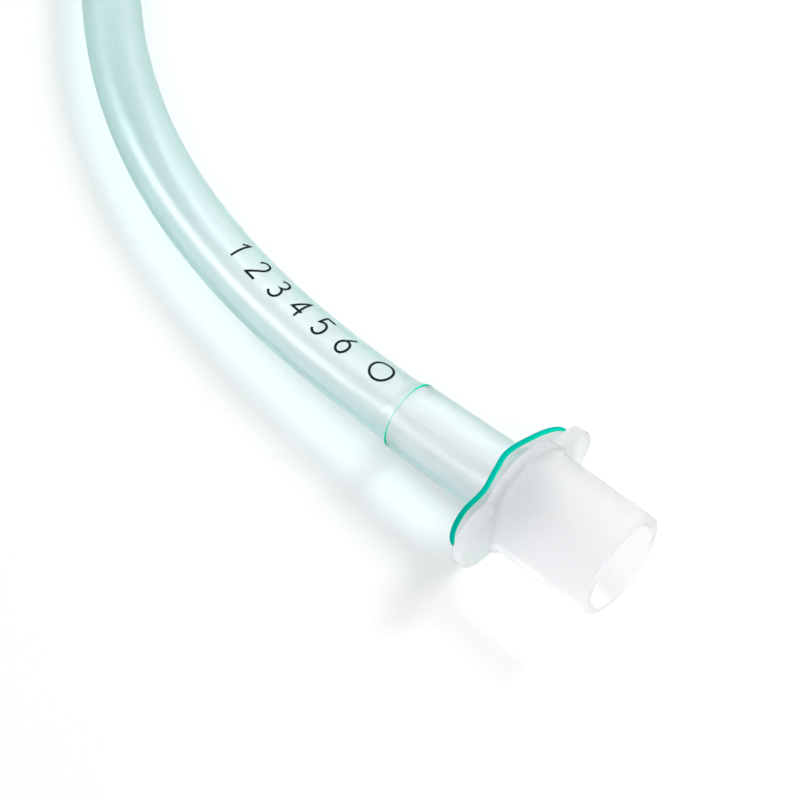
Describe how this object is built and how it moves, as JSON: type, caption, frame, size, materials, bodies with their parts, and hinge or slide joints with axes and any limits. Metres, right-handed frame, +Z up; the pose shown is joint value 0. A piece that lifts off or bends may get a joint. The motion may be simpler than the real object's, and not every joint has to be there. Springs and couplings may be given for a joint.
{
  "type": "nasopharyngeal airway",
  "caption": "Soft curved nasal airway tube with a bevelled tip and a wavy flared flange, stretched over the stem of a frosted tapered connector with an eared plate.",
  "frame": {"origin": "centre of the footprint of the part as it lies on its side, on the surface under it", "axes": "+X along the connector towards its open end, which the rest pose lifts by about 3 degrees; the tube leaves towards -X and bends towards +Y; +Z up"},
  "size_m": [0.1544, 0.0822, 0.0169],
  "materials": {
    "soft_tube": "soft translucent mint green, glossy",
    "frosted_connector": "milky translucent white, satin"
  },
  "bodies": {
    "root": {"airway_tube": "soft_tube", "connector_15mm": "frosted_connector"}
  },
  "joints": []
}
